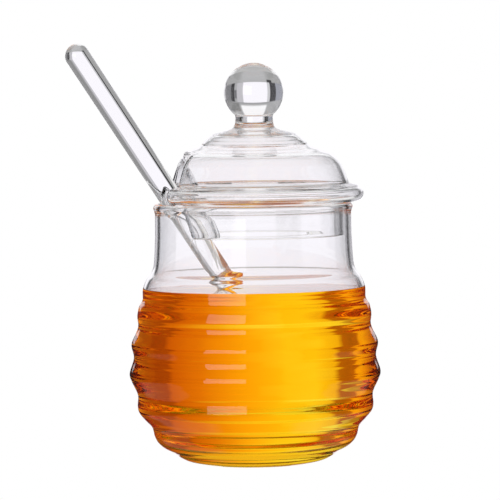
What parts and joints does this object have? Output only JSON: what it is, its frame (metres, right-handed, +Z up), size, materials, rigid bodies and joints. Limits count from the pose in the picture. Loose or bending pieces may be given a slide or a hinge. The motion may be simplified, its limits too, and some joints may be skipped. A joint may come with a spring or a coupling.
{
  "type": "glass honey pot with lid and dipper",
  "caption": "Clear glass pot with a ribbed beehive body, filled with honey, with a domed glass lid, ball knob and leaning glass dipper.",
  "frame": {"origin": "middle of the pot's flat underside, on the pot's axis", "axes": "+Z up along the pot's axis, +X away from the side that the dipper's handle leans to, -Y the front seen in the picture"},
  "size_m": [0.0986, 0.08, 0.1337],
  "materials": {
    "pot_glass": "clear borosilicate glass, fire polished",
    "lid_glass": "clear borosilicate glass, fire polished",
    "dipper_glass": "clear solid glass rod, fire polished",
    "honey": "clear amber honey, orange at the left and golden yellow where light comes through"
  },
  "bodies": {
    "root": {"pot": "pot_glass", "lid": "lid_glass", "dipper": "dipper_glass", "honey": "honey"}
  },
  "joints": []
}
